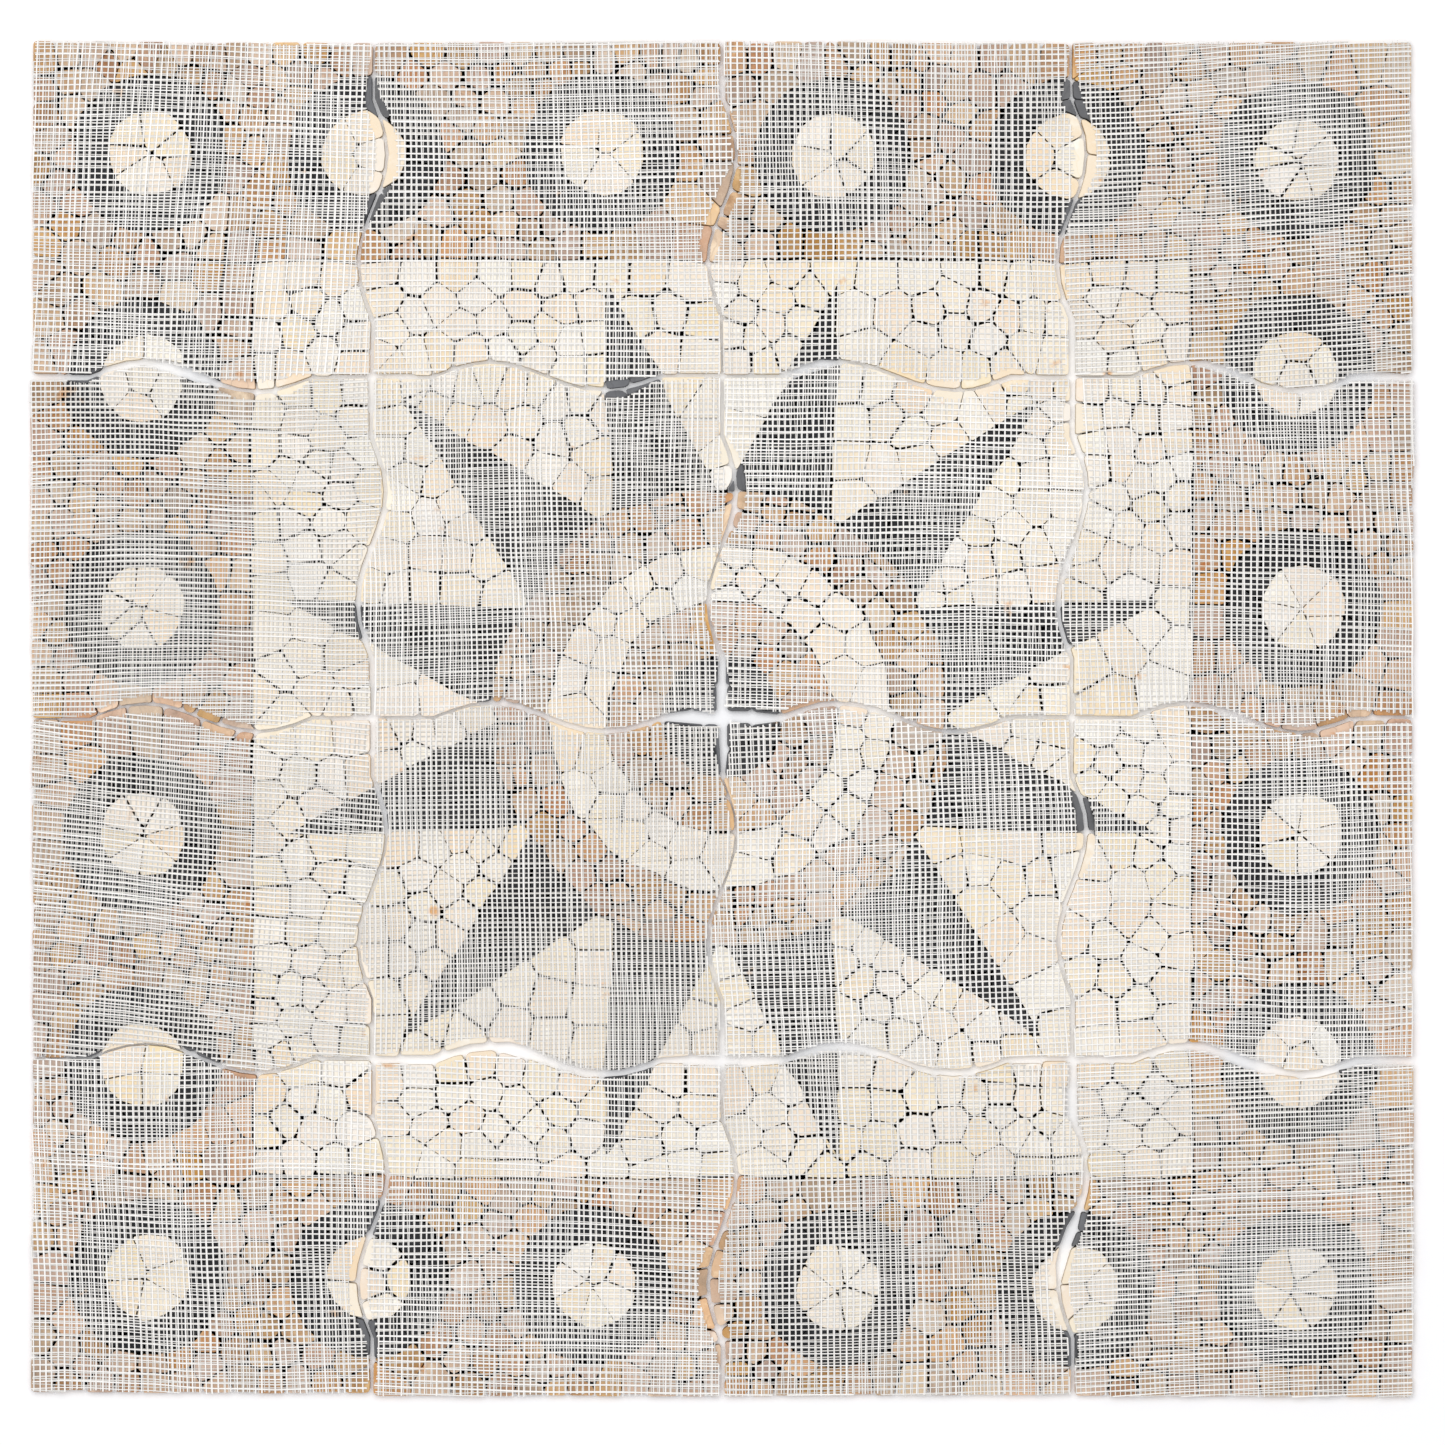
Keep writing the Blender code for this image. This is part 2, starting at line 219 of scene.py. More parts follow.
# The two nets of each sheet, lower then upper: roll, whether it was turned a quarter, and the
# clockwise slant of its upright and its level threads, in degrees. C is the coarse roll and F
# the fine one.
NET_LAY = [
    [(("C", 0, 0.8, 0.4), ("C", 1, 2.6, 0.5)), (("C", 0, 1.0, -0.2), ("C", 0, -1.0, -0.3)),
     (("C", 1, -0.6, 0.2), ("C", 1, -0.4, 0.4)), (("F", 0, -0.7, -1.5), ("F", 0, -0.9, -3.0))],
    [(("F", 0, 0.0, 0.9), ("F", 0, 1.6, 0.4)), (("F", 0, -1.0, -0.6), ("F", 1, -0.2, -0.3)),
     (("C", 0, -1.8, -0.9), ("C", 0, 1.0, 0.9)), (("C", 1, -0.4, 0.3), ("C", 1, -1.8, 0.2))],
    [(("F", 0, 2.6, 5.4), ("F", 0, 2.4, 4.7)), (("F", 1, -1.3, -2.2), ("F", 1, -0.8, -0.3)),
     (("C", 1, -0.7, -0.5), ("C", 1, -1.2, -1.8)), (("C", 0, -0.3, -0.4), ("C", 0, -0.2, 0.2))],
    [(("C", 0, -1.9, 0.7), ("C", 1, -1.5, 0.8)), (("C", 0, -1.7, 0.4), ("C", 0, 0.2, 1.4)),
     (("C", 1, -1.6, -2.2), ("C", 1, -0.2, 0.2)), (("F", 0, 0.3, -0.8), ("F", 0, -1.4, -3.0))],
]


def length(name, description, default, least=0.0):
    """A setting in metres."""
    return bpy.props.FloatProperty(
        name=name, description=description, default=default, min=least, subtype="DISTANCE", unit="LENGTH")


def tint(name, description, default):
    """A setting that is a colour."""
    return bpy.props.FloatVectorProperty(
        name=name, description=description, default=default, size=3, min=0.0, max=1.0, subtype="COLOR")


class StoneSettings(bpy.types.PropertyGroup):
    """Sizes and colours of the stones."""

    size: length("Stone size", "Width of a stone, on average", 0.0272, 0.01)
    joint: length("Joint", "Gap between neighbouring stones, on average", 0.0019)
    corner: length("Corner", "How far the broken corners are knocked off", 0.0027)
    edge: length("Edge", "Wear along the upper and lower edges", 0.0005)
    uneven: length("Unevenness", "How far a cut strays from its line", 0.0012)
    ragged: length("Raggedness", "How far stones stay back from the edge of a sheet", 0.0019)
    sinking: length("Sinking", "How much thinner than the thickest a stone may be", 0.0006)
    parting: length("Parting", "How much further the stones stay back where a seam gapes", 0.003)
    tan: tint("Tan marble", "Colour of the border and two bands", (0.60, 0.33, 0.165))
    cream: tint("Cream marble", "Colour of the field and the ring centres", (0.85, 0.715, 0.55))
    charcoal: tint("Charcoal marble", "Colour of the rings and the star", (0.125, 0.125, 0.13))
    haze: tint("Haze", "Colour of the thin glue left on the backs", (0.90, 0.88, 0.82))


class GlueSettings(bpy.types.PropertyGroup):
    """The hardened glue at the bottom of the joints, nearly black, which also paints the deep shade in the
    joints.
    """

    top: length("Top", "Height of the glue above the finished faces", 0.0046)
    thickness: length("Thickness", "Thickness of the glue in the joints", 0.0016)
    margin: length("Margin", "How far the glue stops short of the edge of a sheet", 0.006)
    colour: tint("Colour", "Colour of the glue in the joints", (0.008, 0.008, 0.009))


class NetSettings(bpy.types.PropertyGroup):
    """Sizes and colour of the open nets."""

    coarse_across: length("Coarse roll, across", "Spacing of its lengthwise threads", 0.00512, 0.001)
    coarse_along: length("Coarse roll, along", "Spacing of its cross threads", 0.00558, 0.001)
    fine_across: length("Fine roll, across", "Spacing of its lengthwise threads", 0.00436, 0.001)
    fine_along: length("Fine roll, along", "Spacing of its cross threads", 0.00468, 0.001)
    stretch: bpy.props.FloatProperty(
        name="Stretch", description="How much a net may be pulled out of its spacing, as a share",
        default=0.012, min=0.0, max=0.1)
    thread: length("Thread width", "Width of a thread, pressed flat in the glue", 0.00105, 0.0002)
    crown: length("Crown", "Rise of a thread in its middle", 0.00013)
    wall: length("Thread thickness", "Thickness of a thread", 0.0002)
    wander: length("Wander", "How far the threads of a net bow sideways", 0.0022)
    fray: length("Fray", "How unevenly the ends of the threads were cut", 0.0008)
    margin: length("Margin", "How far a net stops short of a seam, at least", 0.0005)
    waviness: length("Waviness", "How far the cut edge of a net draws back here and there", 0.0014)
    soaked: tint("Colour, lower", "Colour of the threads that lie in the glue", (0.76, 0.74, 0.70))
    dry: tint("Colour, upper", "Colour of the threads that stayed nearly dry", (0.99, 0.97, 0.935))


class StageSettings(bpy.types.PropertyGroup):
    """Camera, floor and light."""

    height: length("Camera height", "Height of the camera above the floor", 4.4, 0.5)
    view_width: length("View width", "Width of the floor that the camera takes in", 1.272, 0.1)
    floor: length("Floor", "Width of the floor", 14.0, 2.0)
    lamp: bpy.props.FloatProperty(
        name="Lamp", description="Power of the large lamp overhead",
        default=220.0, min=0.0, subtype="POWER", unit="POWER")
    sky: bpy.props.FloatProperty(
        name="Sky", description="Strength of the even light from all round",
        default=0.44, min=0.0)


# Outlines


def seam_points(start, end, sideways, bends):
    """Points along one side of a sheet, without the last, swinging out and back on the way."""
    points = [start]
    if sideways.length == 0:
        return points
    for bend in range(bends + 1):
        share = SEAM_LEAD + (1 - 2 * SEAM_LEAD) * bend / bends
        swing = SEAM_SWING * math.sin(2 * math.pi * bend / bends)
        points.append(start.lerp(end, share) + swing * sideways)
    return points


def sheet_sides(row, column, bends, seam_margin, edge_margin):
    """The left, bottom, right and top side of a sheet, anticlockwise, drawn in by a margin."""
    last = SHEETS - 1
    left = COLUMN_LINES[column] + (seam_margin if column > 0 else edge_margin)
    right = COLUMN_LINES[column + 1] - (seam_margin if column < last else edge_margin)
    top = ROW_LINES[row] - (seam_margin if row > 0 else edge_margin)
    bottom = ROW_LINES[row + 1] + (seam_margin if row < last else edge_margin)
    top_left, bottom_left = Vector((left, top)), Vector((left, bottom))
    bottom_right, top_right = Vector((right, bottom)), Vector((right, top))
    return [
        seam_points(top_left, bottom_left, Vector((column > 0, 0)), bends),
        seam_points(bottom_left, bottom_right, Vector((0, row < last)), bends),
        seam_points(bottom_right, top_right, Vector((-(column < last), 0)), bends),
        seam_points(top_right, top_left, Vector((0, -(row > 0))), bends),
    ]


def sheet_outline(row, column, bends, seam_margin, edge_margin):
    sides = sheet_sides(row, column, bends, seam_margin, edge_margin)
    return np.array([tuple(point) for side in sides for point in side])


def is_outer(row, column, side):
    """Whether a side of a sheet is part of the panel's own edge."""
    return (column == 0, row == SHEETS - 1, column == SHEETS - 1, row == 0)[side]


def net_falls_short(row, column, side, place, net):
    """How far the nets stop short of a side of their sheet, at each place along it."""
    by_row, by_column, by_side = WAVE_STARTS
    begin = by_row * row + by_column * column + by_side * side
    wave = np.sin(place / LONG_WAVE + begin) + np.sin(place / SHORT_WAVE + SHORT_WAVE_START * begin)
    depth = net.margin + net.waviness * np.maximum(wave, 0) ** WAVE_POWER
    if is_outer(row, column, side):
        return OUTER_SHARE * depth
    line = (COLUMN_LINES[column], ROW_LINES[row + 1], COLUMN_LINES[column + 1], ROW_LINES[row])[side]
    for x, y, radius, extra in BARE_PLACES:
        across, along = (x, y) if side % 2 == 0 else (y, x)
        if abs(across - line) < SEAM_SWING:
            depth = np.maximum(depth, extra * np.clip(2 - 2 * np.abs(place - along) / radius, 0, 1))
    return depth


def side_lines(row, column):
    """Each side of a sheet with the starts and the ends of its straight runs."""
    sides = sheet_sides(row, column, SEAM_BENDS, SEAM_GAP / 2, 0.0)
    for number, side in enumerate(sides):
        points = np.array([tuple(point) for point in side + sides[(number + 1) % 4][:1]])
        yield number, points[:-1], points[1:]


def net_outline(row, column, net):
    """The cut edge of the nets of a sheet, anticlockwise."""
    sides = []
    for side, starts, ends in side_lines(row, column):
        axis = 1 - side % 2
        inward = (1, 1, -1, -1)[side]
        steps = np.linspace(0, len(starts), NET_EDGE_STEPS, endpoint=False)
        points = np.concatenate([starts, ends[-1:]])
        spots = np.stack([np.interp(steps, np.arange(len(points)), points[:, k]) for k in (0, 1)], axis=1)
        spots[:, 1 - axis] += inward * net_falls_short(row, column, side, spots[:, axis], net)
        sides.append(spots)
    return np.concatenate(sides)


def ways_to(spots, starts, ends):
    """The way from each spot to the nearest of the lines that run from starts to ends."""
    along = ends - starts
    share = ((spots[:, None] - starts) * along).sum(axis=2) / (along ** 2).sum(axis=1)
    ways = starts + np.clip(share, 0, 1)[..., None] * along - spots[:, None]
    nearest = (ways ** 2).sum(axis=2).argmin(axis=1)
    return ways[np.arange(len(spots)), nearest]


def circle(centre, radius, sides, draw):
    """A round cut by hand, so that its corners lie a little in or out."""
    turns = 2 * math.pi * (np.arange(sides) + 0.5) / sides
    reach = (radius * draw.uniform(1 - ROUND_STRAY, 1 + ROUND_STRAY, sides))[:, None]
    return np.array(centre) + reach * np.stack([np.cos(turns), np.sin(turns)], axis=1)


def rectangle(width, height):
    half = np.array([width, height]) / 2
    return np.array([(-1, -1), (1, -1), (1, 1), (-1, 1)]) * half


def sheet_name(row, column):
    return f"r{row + 1}c{column + 1}"


def sheet_places():
    """Every sheet as row, column and name, from the top left."""
    for row in range(SHEETS):
        for column in range(SHEETS):
            yield row, column, sheet_name(row, column)


def sheet_lay(row, column):
    """How a drawn sheet gets to where its solid lies: a turn about its middle and a shift."""
    middle = Vector((
        (COLUMN_LINES[column] + COLUMN_LINES[column + 1]) / 2,
        (ROW_LINES[row] + ROW_LINES[row + 1]) / 2,
        0,
    ))
    angle = SHEET_TURN[row][column] * SEAM_GAP / (SHEET_STEP_X / 2)
    turn = Matrix.Rotation(angle, 4, "Z") @ Matrix.Translation(-middle)
    outline = sheet_outline(row, column, CAD_SEAM_BENDS, SEAM_GAP / 2, 0.0)
    rim = [turn @ Vector((x, y, 0)) for x, y in outline]
    low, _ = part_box("stones_" + sheet_name(row, column))
    shift = Vector((low[0] - min(spot.x for spot in rim), low[1] - min(spot.y for spot in rim), 0))
    return Matrix.Translation(shift) @ turn


# The picture: areas of one colour, each laid over the ones before it


def ring_centres():
    """The rings run once round the border, sharing the four corners."""
    middle = (RINGS_ALONG - 1) / 2
    centres = []
    for i in range(RINGS_ALONG):
        for j in range(RINGS_ALONG):
            if i in (0, RINGS_ALONG - 1) or j in (0, RINGS_ALONG - 1):
                right, up = RING_SHIFT[i, j]
                x = (i - middle) * RING_STEP_X + right / 1000
                y = (j - middle) * RING_STEP_Y + up / 1000
                centres.append((x, y))
    return centres


def blade(number):
    """A blade of the star: its foot is tucked under the outer band and its tip points out."""
    angle = 2 * math.pi * (number + 0.5) / BLADES
    out = np.array([math.cos(angle), math.sin(angle)])
    across = np.array([-out[1], out[0]])
    foot = out * (OUTER_BAND_RADIUS - BLADE_TUCK)
    half = across * BLADE_FOOT_WIDTH / 2
    return np.array([foot - half, out * BLADE_TIP_RADIUS, foot + half])


def colour_areas():
    """Pairs of colour and outline, from the bottom of the picture to the top."""
    draw = np.random.default_rng(ROUND_DRAW)
    areas = [(TAN, rectangle(2 * PANEL_WIDTH, 2 * PANEL_HEIGHT))]
    areas.append((CREAM, rectangle(FIELD_WIDTH, FIELD_HEIGHT)))
    areas += [(CHARCOAL, blade(number)) for number in range(BLADES)]
    areas.append((TAN, circle((0, 0), OUTER_BAND_RADIUS, 2 * ROUND_SIDES, draw)))
    areas.append((CREAM, circle((0, 0), MIDDLE_BAND_RADIUS, 2 * ROUND_SIDES, draw)))
    areas.append((TAN, circle((0, 0), INNER_BAND_RADIUS, ROUND_SIDES, draw)))
    areas.append((CHARCOAL, circle((0, 0), HUB_RADIUS, DISC_SIDES, draw)))
    for centre in ring_centres():
        areas.append((CHARCOAL, circle(centre, RING_RADIUS, ROUND_SIDES, draw)))
        areas.append((CREAM, circle(centre, DISC_RADIUS, DISC_SIDES, draw)))
    return areas


# Cutting a sheet into stones


def inside(outline, spots):
    """Which of the spots lie within the outline."""
    within = np.zeros(len(spots), bool)
    for (x0, y0), (x1, y1) in zip(outline, np.roll(outline, -1, axis=0)):
        if y0 == y1:
            continue
        beside = (spots[:, 1] < y0) != (spots[:, 1] < y1)
        crossing = x0 + (x1 - x0) * (spots[:, 1] - y0) / (y1 - y0)
        within ^= beside & (spots[:, 0] < crossing)
    return within


def overlay(outlines):
    """Crosses closed outlines. Gives the faces between them, each with the outlines round it."""
    points = []
    loops = []
    for outline in outlines:
        loops.append(list(range(len(points), len(points) + len(outline))))
        points += [Vector(point) for point in outline]
    # VALID_FACES asks for whole faces between the outlines in place of triangles
    spots, _, faces, _, _, owners = delaunay_2d_cdt(points, [], loops, VALID_FACES, SAME_PLACE)
    return [([tuple(spots[v]) for v in face], set(owner)) for face, owner in zip(faces, owners)]


def settle_seeds(spots, count, draw):
    """Spreads a few seeds evenly over the spots, each in the middle of the spots nearest to it."""
    seeds = spots[draw.choice(len(spots), count, replace=False)]
    for _ in range(SETTLING_ROUNDS):
        gaps = ((spots[:, None] - seeds[None]) ** 2).sum(axis=2)
        nearest = gaps.argmin(axis=1)
        seeds = np.array([spots[nearest == k].mean(axis=0) for k in range(count) if (nearest == k).any()])
        count = len(seeds)
    return seeds


def wedge_seeds(centre, count, draw):
    """Seeds round a centre, so that the stones of a whole disc meet in its middle."""
    shares = np.arange(count) + draw.uniform(0, 1) + draw.uniform(-WEDGE_TURN, WEDGE_TURN, count)
    turns = 2 * math.pi * shares / count
    reach = (DISC_RADIUS * draw.uniform(*WEDGE_REACH, count))[:, None]
    return centre + reach * np.stack([np.cos(turns), np.sin(turns)], axis=1)


def cut_back(outline, middle, away):
    """The part of a convex outline on the near side of a line through middle, square to away."""
    sides = (outline - middle) @ away
    if (sides <= 0).all():
        return outline
    kept = []
    for here, ahead, d0, d1 in zip(outline, np.roll(outline, -1, axis=0), sides, np.roll(sides, -1)):
        if d0 <= 0:
            kept.append(here)
        if (d0 < 0 < d1) or (d1 < 0 < d0):
            kept.append(here + (ahead - here) * d0 / (d0 - d1))
    return np.array(kept)


def cell_round(seed, seeds):
    """The ground nearer to this seed than to any other."""
    cell = seed + rectangle(SHEET_STEP_X, SHEET_STEP_Y)
    others = seeds[np.argsort(((seeds - seed) ** 2).sum(axis=1))][1:]
    for other in others:
        cell = cut_back(cell, (seed + other) / 2, other - seed)
    return cell


def is_whole_disc(area, outline):
    """Whether an area is a ring centre that no seam cuts."""
    across = np.ptp(area, axis=0).max()
    return across < WHOLE_DISC * DISC_RADIUS and inside(outline, area).all()


def stones_drawn(outline, areas, size, draw):
    """Cuts a sheet along its colour areas and each area into stones. Gives colour and outline."""
    low, high = outline.min(axis=0), outline.max(axis=0)
    near = [a for a in areas if (a[1].min(axis=0) < high).all() and (a[1].max(axis=0) > low).all()]
    across, up = (np.arange(low[k], high[k], SAMPLE_STEP) for k in (0, 1))
    spots = np.stack(np.meshgrid(across, up), axis=-1).reshape(-1, 2)
    spots = spots[inside(outline, spots)]
    top_area = np.zeros(len(spots), int)
    for number, (_, area) in enumerate(near):
        top_area[inside(area, spots)] = number
    stones = []
    for number, (colour, area) in enumerate(near):
        patch = spots[top_area == number]
        if len(patch) == 0:
            continue
        if is_whole_disc(area, outline):
            seeds = wedge_seeds(area.mean(axis=0), draw.integers(*WEDGES), draw)
        else:
            count = max(1, round(len(patch) * (SAMPLE_STEP / (size * SIZE_SHARE[colour])) ** 2))
            seeds = settle_seeds(patch, count, draw)
        cells = [cell_round(seed, seeds) for seed in seeds]
        layers = [outline] + [other for _, other in near] + cells
        first_cell = 1 + len(near)
        for face, owners in overlay(layers):
            shown = max((o - 1 for o in owners if 0 < o < first_cell), default=None)
            if 0 in owners and shown == number:
                stones.append((colour, face))
    return stones


def may_close(side, bends):
    """Whether a side can shrink to a point while the rim keeps its line and no stone is pinched."""
    one, other = side.verts
    if one.is_boundary and other.is_boundary:
        if not side.is_boundary or (one in bends and other in bends):
            return False
    if len(set(one.link_faces) & set(other.link_faces)) > len(side.link_faces):
        return False
    round_one, round_other = ({e.other_vert(corner) for e in corner.link_edges} for corner in side.verts)
    triangles = [face for face in side.link_faces if len(face.verts) == 3]
    return len(round_one & round_other) == len(triangles)


def close_short_sides(mesh, bends):
    """Shrinks short sides to points, the shortest first. The bends of the rim stay in place."""
    while True:
        short = [side for side in mesh.edges if side.calc_length() < JOIN_REACH and may_close(side, bends)]
        if not short:
            return
        side = min(short, key=lambda entry: entry.calc_length())
        rim = [corner for corner in side.verts if corner.is_boundary]
        fixed = [corner for corner in rim if corner in bends]
        places = [corner.co.copy() for corner in fixed or rim or side.verts]
        bmesh.ops.pointmerge(mesh, verts=side.verts[:], merge_co=sum(places, Vector()) / len(places))


def join_slivers(mesh):
    """Joins each sliver to the stone of its own colour that shares its longest side."""
    while True:
        joins = []
        for face in mesh.faces:
            if face.calc_area() < SLIVER_AREA:
                for side in face.edges:
                    colours = {stone.material_index for stone in side.link_faces}
                    if len(side.link_faces) == 2 and len(colours) == 1:
                        joins.append(side)
        if not joins:
            return
        longest = max(joins, key=lambda side: side.calc_length())
        bmesh.ops.dissolve_edges(mesh, edges=[longest], use_verts=False)


def drop_straight_corners(mesh, bends):
    """Takes out corners that lie on a straight run between just two others, but for the bends."""
    straight = []
    for corner in mesh.verts:
        if len(corner.link_edges) == 2 and corner not in bends:
            before, ahead = (edge.other_vert(corner).co - corner.co for edge in corner.link_edges)
            if before.angle(-ahead) < STRAIGHT_ANGLE:
                straight.append(corner)
    bmesh.ops.dissolve_verts(mesh, verts=straight)


def cut_sheet(outline, areas, sizes, draw):
    """A flat mesh of the stones of a sheet, which share their corners and have no short sides."""
    stones = stones_drawn(outline, areas, sizes.size, draw)
    mesh = bmesh.new()
    corners = {}
    for face, owners in overlay([stone for _, stone in stones]):
        for point in face:
            if point not in corners:
                corners[point] = mesh.verts.new((*point, 0.0))
        if owners:
            stone = mesh.faces.new([corners[point] for point in face])
            stone.material_index = stones[min(owners)][0]
    bmesh.ops.delete(mesh, geom=[v for v in mesh.verts if not v.link_faces], context="VERTS")
    bends = {v for v in mesh.verts if np.abs(outline - v.co.xy).max(axis=1).min() < SAME_PLACE}
    close_short_sides(mesh, bends)
    join_slivers(mesh)
    drop_straight_corners(mesh, bends)
    return mesh


def spots_of(mesh):
    """The places of the corners of a mesh, which also get their numbers."""
    mesh.verts.index_update()
    return np.array([tuple(corner.co.xy) for corner in mesh.verts])


def roughen(mesh, sizes, draw):
    """Lets the cuts stray a little from their lines."""
    for corner in mesh.verts:
        if not corner.is_boundary:
            stray = draw.uniform(-sizes.uneven, sizes.uneven, 2)
            corner.co += Vector((*stray, 0))


def gaping(spots):
    """From 0 to 1, how much a seam gapes at each spot."""
    most = np.zeros(len(spots))
    for x, y, half in WIDE_GAPS:
        near = ((spots - (x, y)) ** 2).sum(axis=1) / half ** 2
        most = np.maximum(most, np.clip(GAPE_RISE * (1 - near), 0, 1))
    return most


def set_back(mesh, row, column, joint, sizes, draw):
    """Stands each stone at the rim of the sheet on its own line, a little forward or back."""
    spots = spots_of(mesh)
    parting = sizes.parting * gaping(spots)
    for side, starts, ends in side_lines(row, column):
        ways = ways_to(spots, starts, ends)
        gaps = np.linalg.norm(ways, axis=1)
        forward = 0.0 if is_outer(row, column, side) else FORWARD_SHARE * SEAM_GAP
        for stone in mesh.faces:
            back = sizes.ragged * draw.uniform() ** 2
            for corner in stone.verts:
                gap = gaps[corner.index]
                if 0 < gap < joint:
                    own = back + RIM_STRAY * sizes.ragged * draw.uniform() - forward
                    if forward:
                        own += parting[corner.index]
                    corner.co += Vector((*ways[corner.index] / gap * (gap - own), 0))


# Solids


def part_stones(mesh, joint, draw):
    """Draws every stone in by half a joint, more or less, so that no two touch."""
    stones = mesh.faces[:]
    draw.shuffle(stones)
    thirds = [stones[k::len(JOINT_SPREAD)] for k in range(len(JOINT_SPREAD))]
    for share, third in zip(JOINT_SPREAD, thirds):
        rims = bmesh.ops.inset_individual(mesh, faces=third, thickness=share * joint / 2)["faces"]
        bmesh.ops.delete(mesh, geom=rims, context="FACES")


def raise_stones(mesh, sizes, draw):
    """Gives each flat stone its thickness, with knocked-off corners and worn edges."""
    for stone in mesh.faces[:]:
        sharp = [loop.vert for loop in stone.loops if loop.calc_angle() < BLUNT_ANGLE]
        reach = sizes.corner * draw.uniform(*CORNER_SPREAD)
        bmesh.ops.bevel(
            mesh, geom=sharp, offset=reach, offset_type="OFFSET", segments=2,
            profile=0.5, affect="VERTICES", clamp_overlap=True, material=-1)
    raised = bmesh.ops.extrude_face_region(mesh, geom=mesh.faces[:], use_keep_orig=True)["geom"]
    for face in raised:
        if isinstance(face, bmesh.types.BMFace):
            height = STONE_THICKNESS - draw.uniform(0, sizes.sinking)
            for corner in face.verts:
                corner.co.z = height
    bmesh.ops.recalc_face_normals(mesh, faces=mesh.faces)
    rims = [edge for edge in mesh.edges if abs(edge.verts[0].co.z - edge.verts[1].co.z) < SAME_PLACE]
    bmesh.ops.bevel(
        mesh, geom=rims, offset=sizes.edge, offset_type="OFFSET", segments=1,
        profile=0.5, affect="EDGES", clamp_overlap=True, material=-1)


def mark_net_edge(mesh, row, column, net):
    """Writes on each corner how far it is inside the cut edge of the nets."""
    mark = mesh.verts.layers.float.new("inside_net")
    spots = spots_of(mesh)
    depth = np.full(len(spots), np.inf)
    for side, starts, ends in side_lines(row, column):
        place = spots[:, 1] if side in (0, 2) else spots[:, 0]
        gap = np.linalg.norm(ways_to(spots, starts, ends), axis=1)
        gap -= net_falls_short(row, column, side, place, net)
        depth = np.minimum(depth, gap)
    for corner, value in zip(mesh.verts, depth):
        corner[mark] = value


def tone_stones(mesh, draw):
    """Writes a chance number from 0 to 1 on all the faces of each stone."""
    tone = mesh.faces.layers.float.new("stone_tone")
    waiting = set(mesh.faces)
    for first in mesh.faces:
        if first not in waiting:
            continue
        value = draw.uniform()
        found = [first]
        waiting.discard(first)
        while found:
            face = found.pop()
            face[tone] = value
            for edge in face.edges:
                for beside in edge.link_faces:
                    if beside in waiting:
                        waiting.discard(beside)
                        found.append(beside)


def place_piece(name, mesh, node, material):
    """Makes the mesh a piece of the panel, in place of a plain solid."""
    data = bpy.data.meshes.new(name)
    mesh.to_mesh(data)
    mesh.free()
    data.materials.append(material)
    piece = bpy.data.objects.new(name, data)
    bpy.context.scene.collection.objects.link(piece)
    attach(piece, "root")
    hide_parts(node)
    return piece


# Nets


def bowed_line(along, offset, net):
    """Sideways place of a thread that lies at offset, at each place along it."""
    turns = along / net["bow"] + net["phase"] + offset / net["drift"]
    short_turns = along / (SHORT_BOW_LENGTH * net["bow"]) + SHORT_BOW_DRIFT * offset
    long_bow = net["wander"] * np.sin(2 * math.pi * turns)
    short_bow = SHORT_BOW_SHARE * net["wander"] * np.sin(2 * math.pi * short_turns)
    return offset + long_bow + short_bow


def thread_runs(outline, offset, net, upright):
    """The stretches of a thread that lie on its sheet, as start and end."""
    along = np.linspace(-NET_REACH, NET_REACH, RUN_SAMPLES)
    spots = thread_spots(along, offset, net, upright)
    within = inside(outline, spots)
    steps = np.diff(np.concatenate([[0], within.astype(int), [0]]))
    starts, ends = np.where(steps == 1)[0], np.where(steps == -1)[0] - 1
    return [(along[a], along[b]) for a, b in zip(starts, ends)]


def thread_spots(along, offset, net, upright):
    """Places on the sheet of a thread's middle line."""
    aside = bowed_line(along, offset, net)
    flat = np.stack([aside, along], axis=1) if upright else np.stack([along, aside], axis=1)
    slant = -net["slant"]
    turn = np.array([(math.cos(slant), math.sin(slant)), (-math.sin(slant), math.cos(slant))])
    return net["middle"] + flat @ turn


def lay_thread(mesh, start, end, offset, net, upright, draw):
    """One thread: a narrow crowned strip along its line, with its width never quite the same."""
    steps = max(2, round((end - start) / THREAD_STEP))
    strip = bmesh.ops.create_grid(mesh, x_segments=steps, y_segments=2, size=0.5)["verts"]
    along = start + (end - start) * np.arange(steps + 1) / steps
    middle = thread_spots(along, offset, net, upright)
    ahead = thread_spots(along + AHEAD, offset, net, upright) - middle
    across = np.stack([-ahead[:, 1], ahead[:, 0]], axis=1) / AHEAD
    half = net["thread"] / 2 * draw.uniform(*THREAD_WIDTHS) * draw.uniform(*STEP_WIDTHS, steps + 1)
    for corner in strip:
        step = round((corner.co.x + 0.5) * steps)
        side = round(corner.co.y * 2)
        x, y = middle[step] + side * half[step] * across[step]
        corner.co = (x, y, net["height"] - abs(side) * net["crown"])
    brightness = min(1.0, max(0.0, draw.uniform(*net["brightness"])))
    for face in {face for corner in strip for face in corner.link_faces}:
        face[net["tone"]] = brightness


